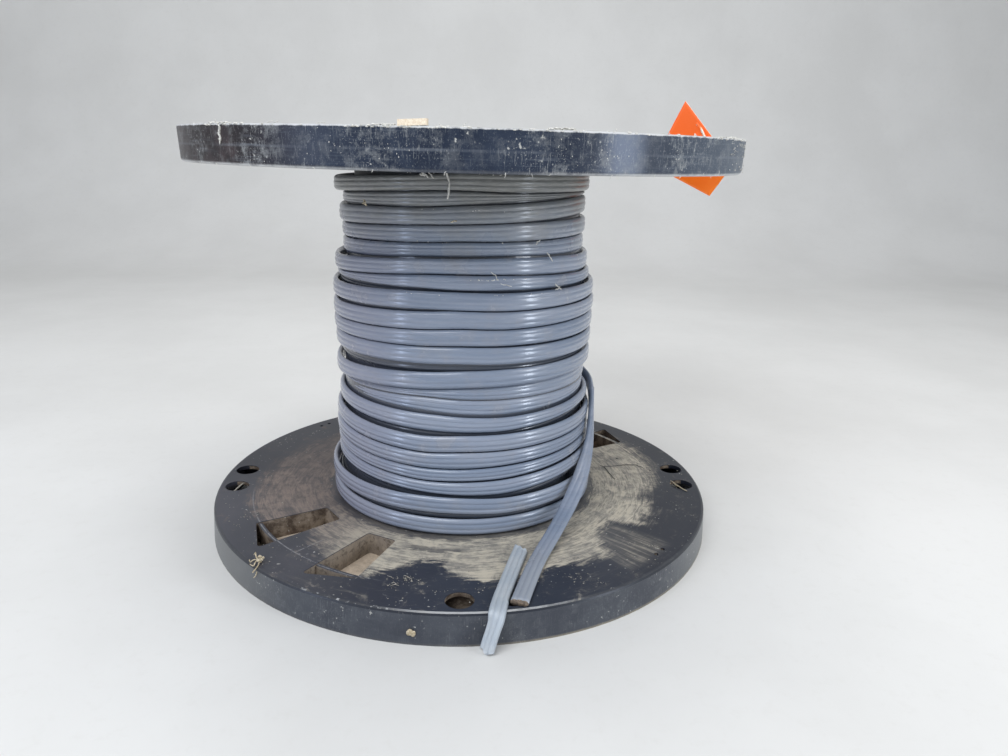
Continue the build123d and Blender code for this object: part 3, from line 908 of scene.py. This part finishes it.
def make_strands():
    """Two thin strands of the tag's cord, from its hole to the rim."""
    rim_point = around(302, 11, 458)
    for name, material, shift, seed in (
        ("tag_strand_white", tie_cord, 0, 5),
        ("tag_strand_orange", orange, 0.0016, 6),
    ):
        heap = Heap()
        start = tag_hole + Vector((-0.004, -0.006, 0.0075 + shift))
        heap.fibre(start, rim_point + Vector((0, shift, 0)), 0.0017, 0.002, seed)
        heap.piece(name, material)


make_strands()

# Debris: ends of the straws in the lower rim's clump, as radius in mm, angle in degrees and height
CLUMP_ENDS = (
    (309.5, 227.9, 27), (307.5, 227.3, 31), (305.5, 225.6, 36), (303, 224.7, 38), (299, 225.2, 43),
)
# spots of crumbs on the lower face: radius in mm, angle in degrees, spread in mm, number
CRUMB_SPOTS = (
    (259, 255.5, 8, 20), (249, 258.5, 6, 12), (256, 261, 5, 8), (262, 273, 5, 9), (268, 265.5, 5, 7),
    (270, 295, 9, 18), (287, 298.5, 7, 10), (272, 319, 4, 7), (247, 249, 6, 8), (265, 231, 8, 9),
    (268, 205, 6, 9), (283, 207.5, 5, 6), (257, 203, 6, 6),
)
# threads on the right of the lower face: both ends as radius in mm and angle in degrees
THREADS = (
    ((193, 10.5), (218, 10.6)), ((217, 10.6), (240, 10)), ((239, 10.1), (252.5, 5.1)),
    ((193, 10.5), (197.7, 358.2)), ((190.5, 12), (193.5, 10.2)),
)
# fibres on the winding: start, middle and end as radius, angle and height, then thickness in m and seed
WINDING_FIBRES = (
    ((150, 262.4, 421), (150.4, 263.9, 410.4), (149, 263, 394.5), 0.0011, 1),
    ((149.5, 253, 420), (149.5, 254.3, 417.5), (149.5, 255.8, 414), 0.0009, 3),
    ((149.5, 255.3, 421), (149.5, 256.4, 417.5), (149, 257.8, 413.4), 0.0007, 4),
    ((149.5, 252.6, 417), (149.5, 253.5, 416), (149.5, 254.6, 415.5), 0.001, 5),
    ((144.5, 302, 354), (144.5, 300.8, 352.5), (144.5, 299.9, 349.4), 0.0006, 6),
    ((149, 304.2, 341), (149, 305.8, 336.5), (149.5, 307.4, 331.8), 0.0006, 7),
    ((155.5, 307.2, 309), (155.8, 308.6, 306), (155.8, 310.5, 302), 0.0006, 8),
    ((155.5, 309.8, 306), (155.8, 308.8, 303), (155.8, 307.2, 302.4), 0.0005, 9),
    ((154, 279.5, 324.6), (154.5, 281, 322), (155, 281.8, 316), 0.0004, 10),
    ((155.5, 283.2, 313), (155.7, 285.6, 311.4), (155.7, 287.6, 309.6), 0.0004, 11),
    ((148.5, 264.2, 372.6), (148.5, 265.3, 373.6), (148.5, 266.6, 374), 0.0007, 12),
    ((149, 225.4, 389.5), (149.3, 226.2, 386.5), (149, 227.2, 383.5), 0.0011, 13),
    ((149, 224.6, 386), (149.3, 226.2, 386.5), (149, 227, 387.5), 0.0008, 14),
)
# chaff in the gaps between turns: height and radius in mm, number
CHAFF_GAPS = (
    (316.5, 155, 22), (418.5, 147.5, 14), (383.5, 145.5, 8), (301, 155.5, 10), (351.5, 144, 6),
)
# angles in degrees between which the crust on the upper rim lies
CRUST_SPANS = ((196, 345), (222, 234), (252, 262), (262, 300), (318, 332))
# heaps in that crust: first and last angle, height in mm, number
CRUST_HEAPS = (
    (223.4, 228.5, 0.9, 34), (256.5, 259.5, 0.8, 18), (281.5, 286, 1.6, 24), (320, 328, 1, 20),
)
# strand down the upper rim's wall: angle and height
STRAND = ((226.3, 457.6), (227, 453), (226.5, 448.6), (226.9, 444.4), (226.6, 440.6))
STRAND_THICK = (0.0011, 0.0015, 0.0011, 0.0008)
STRAND_CRUMBS = (0.0016, 0.0011, 0.0013, 0.0006)
# angles of the fine specks on that wall
SPECK_ANGLES = (237.4, 249.7, 284.7, 292.1, 304.8, 259)


def lower_debris(chooser, straws, crumbs, threads):
    """Straw clump, chaff, crumbs and hairs on the lower flange."""
    draw = chooser.uniform
    for k in range(9):
        centre = around(296 + draw(-4, 3), 226 + draw(-0.8, 0.7), 36 + draw(0, 5))
        straws.crumb(centre, draw(0.0016, 0.003), 20 + k, (1, 0.7, 0.8))
    for k, end in enumerate(CLUMP_ENDS):
        start = around(297, 226.2 + draw(-0.5, 0.5), 38 + draw(-1, 2))
        straws.fibre(start, around(*end), 0.0007, 0.0035, 40 + k)
    straws.crumb(around(305.4, 261, 13.6), 0.0038, 61, (1, 0.25, 1))
    straws.crumb(around(305.4, 261.6, 12.2), 0.0026, 62, (1, 0.25, 1.3))
    for k in range(9):
        start = around(274 + draw(-2, 3), 243.6 + draw(-1.6, 1.8), 12.5)
        end = start + Vector((draw(-0.009, 0.009), draw(-0.004, 0.004), draw(0, 0.006)))
        straws.fibre(start, end, 0.0006, 0.002, 70 + k)
    crumbs.fibre(around(285.5, 187, 29), around(276, 183.1, 31.6), 0.0011, 0.0006, 90)
    straws.fibre(around(270, 357.8, 34.8), around(286, 351.4, 34.8), 0.0007, 0.0022, 91)
    straws.fibre(around(270.5, 357.2, 34.6), around(276.5, 354, 34.6), 0.0005, 0.0016, 92)
    for radius, angle, spread, count in CRUMB_SPOTS:
        for _ in range(count):
            degrees = angle + chooser.gauss(0, spread * 0.16)
            centre = around(radius + chooser.gauss(0, spread * 0.7), degrees, FACE + 0.3)
            size = draw(0.0002, 0.0008) * draw(0.4, 1)
            crumbs.crumb(centre, size, chooser.randrange(9999), (1.5, 1, 0.5))
    for k in range(9):
        start = around(256 + draw(-8, 8), 257.5 + draw(-3, 3), FACE + 0.5)
        end = start + Vector((draw(-0.008, 0.008), draw(-0.006, 0.006), 0.0006))
        crumbs.fibre(start, end, 0.00035, 0.0014, 140 + k)
    for k in range(150):
        place = around(draw(176, 298), draw(195, 385), FACE + 0.2)
        crumbs.crumb(place, draw(0.0002, 0.0007), 200 + k, (1.4, 1, 0.5))
    for k, (start, end) in enumerate(THREADS):
        threads.fibre(around(*start, FACE + 0.25), around(*end, FACE + 0.25), 0.0005, 0.0007, 181 + k)
    threads.crumb(around(223.2, 16.8, FACE), 0.0017, 190, (1.2, 1, 0.3))
    threads.crumb(around(272.7, 319.1, FACE), 0.0015, 191, (1.2, 1, 0.3))


def winding_debris(chooser, straws, pale):
    """Fibres that hang from the upper flange and chaff caught between the turns."""
    draw = chooser.uniform
    for start, middle, end, thick, seed in WINDING_FIBRES:
        heap = straws if seed in (12, 13, 14) else pale
        heap.fibre(around(*start), around(*middle), thick, 0.0008, 300 + seed)
        heap.fibre(around(*middle), around(*end), thick, 0.0008, 340 + seed)
    for height, radius, count in CHAFF_GAPS:
        for _ in range(count):
            degrees = draw(272, 294) if height == 316.5 else draw(246, 302)
            place = around(radius, degrees, height + draw(-0.8, 0.8))
            pale.crumb(place, draw(0.0003, 0.0007), chooser.randrange(9999), (1.4, 1.4, 0.7))


def upper_debris(chooser, crust):
    """Crust, lint and fibres along the upper rim."""
    draw = chooser.uniform
    for k in range(420):
        degrees = chooser.choice([draw(*span) for span in CRUST_SPANS])
        place = around(draw(301.5, 304.9), degrees, 456.5 + draw(-0.9, 0.6))
        crust.crumb(place, draw(0.0004, 0.0012), 500 + k, (1.8, 1.8, 0.7))
    for low, high, rise, count in CRUST_HEAPS:
        for _ in range(count):
            place = around(draw(301, 304), draw(low, high), 457 + draw(0, rise))
            crust.crumb(place, draw(0.0006, 0.0013), chooser.randrange(9999), (2.2, 2.2, 0.6))
    for k in range(12):
        start = around(302, draw(198, 343), 457.2)
        end = start + Vector((draw(-0.009, 0.009), draw(-0.004, 0.004), draw(0, 0.0035)))
        crust.fibre(start, end, 0.0003, 0.001, 800 + k)
    for k in range(4):
        end = around(304.9, *STRAND[k + 1])
        crust.fibre(around(304.9, *STRAND[k]), end, STRAND_THICK[k], 0.0006, 850 + k)
        crust.crumb(end, STRAND_CRUMBS[k], 860 + k, (1, 1, 1.3))
    for k in range(90):
        degrees = draw(324, 345)
        height = draw(424, 456) if chooser.random() < 0.5 else draw(440, 456)
        crust.crumb(around(304.7, degrees, height), draw(0.0002, 0.0007), 900 + k)
    for k in range(54):
        degrees = chooser.choice(SPECK_ANGLES) + chooser.gauss(0, 1.3)
        height = (428.6 if degrees < 242 else 440.5) + chooser.gauss(0, 4.5)
        height = min(max(height, 425), 455)
        crust.crumb(around(304.9, degrees, height), draw(0.00015, 0.0004), 1000 + k, (1, 0.6, 1.6))
    for k in range(16):
        start = around(304.4, draw(200, 344), 424.4)
        end = start + Vector((draw(-0.002, 0.002), 0, -draw(0.0008, 0.004)))
        crust.fibre(start, end, 0.00025, 0.0006, 980 + k)


def make_debris():
    """Straw, chaff and crumbs that lie on the reel, and the crust along the upper rim."""
    chooser = random.Random(11)
    straws, crumbs, crust, pale, threads = (Heap() for _ in range(5))
    lower_debris(chooser, straws, crumbs, threads)
    winding_debris(chooser, straws, pale)
    upper_debris(chooser, crust)
    straws.piece("straw_bits", straw)
    crumbs.piece("face_crumbs", chaff)
    crust.piece("rim_crust", lint)
    pale.piece("winding_fibres", lint)
    threads.piece("face_threads", barrel)


make_debris()


def make_chip():
    """Small pale chip of wood that lies on the upper rim."""
    centre, along, across = around(300.5, 262.2, 459.6), Vector((0.99, -0.13, 0)), Vector((0.13, 0.99, 0))
    corners = []
    for w in (-0.0024, 0.0024):
        for u, v in ((-0.0112, -0.005), (0.0112, -0.005), (0.0108, 0.006), (-0.0114, 0.005)):
            corners.append(centre + along * u + across * v + Vector((0, 0, w + u * 0.05)))
    faces = [(3, 2, 1, 0), (4, 5, 6, 7), (0, 1, 5, 4), (1, 2, 6, 5), (2, 3, 7, 6), (3, 0, 4, 7)]
    add_piece("wood_chip", corners, faces, [chip], smooth=False)


make_chip()


# Floor, backdrop and light
def make_stage():
    """Pale floor that curves up behind."""
    n = Nodes("floor")
    where = n.place()[0]
    broad = n.noise(where, 2.5, 4, 0.6)
    fine = n.noise(where, 60, 5, 0.7)
    colour = n.mix(n.step(broad, 0.3, 0.7), (0.67, 0.66, 0.635), (0.72, 0.71, 0.685))
    colour = n.mix(n.step(fine, 0.5, 0.75, 0, 0.2), colour, (0.6, 0.58, 0.54))
    material = n.finish(colour, 0.65, fine, 0.1, 0.0005)
    half, back, rise, bend, sink = 9, 2.6, 3, 0.8, 0.0002
    rows = [(-half, 0), (back - bend, 0)]
    for step in range(1, 13):
        a = pi / 2 * step / 12
        rows.append((back - bend + bend * sin(a), bend * (1 - cos(a))))
    rows.append((back, rise))
    verts = [(x, y, z - sink) for y, z in rows for x in (-half, half)]
    faces = [(2 * i, 2 * i + 1, 2 * i + 3, 2 * i + 2) for i in range(len(rows) - 1)]
    floor = make_object("floor", verts, faces, [material])


def make_light(name, place, height, size, power, colour):
    """Soft area lamp, aimed at a height on the reel's axis."""
    data = bpy.data.lights.new(name, "AREA")
    data.shape = "RECTANGLE"
    data.size, data.size_y = size
    data.energy = power
    data.color = colour
    lamp = link_object(name, data)
    lamp.location = place
    lamp.rotation_euler = (Vector((0, 0, height)) - Vector(place)).to_track_quat("-Z", "Y").to_euler()


make_stage()
make_light("key", (-0.9, -1.5, 1.9), 0.2, (1.6, 1.2), 34, (0.93, 0.96, 1))
make_light("fill", (1.9, -0.9, 1.3), 0.2, (1.2, 1.2), 10, (1, 0.98, 0.95))
make_light("top", (0.1, 0.5, 2.4), 0.1, (2, 2), 26, (1, 1, 1))
make_light("strip_light", (2.2, -1.45, 0.5), 0.3, (0.3, 1.5), 24, (0.8, 0.88, 1))
make_light("side_light", (-1.75, -1.25, 0.45), 0.3, (0.22, 1.2), 8, (0.62, 0.74, 1))
world = bpy.data.worlds.new("world")
world.use_nodes = True
background = world.node_tree.nodes["Background"].inputs
background["Color"].default_value = (0.8, 0.84, 0.9, 1)
background["Strength"].default_value = 0.55
scene.world = world
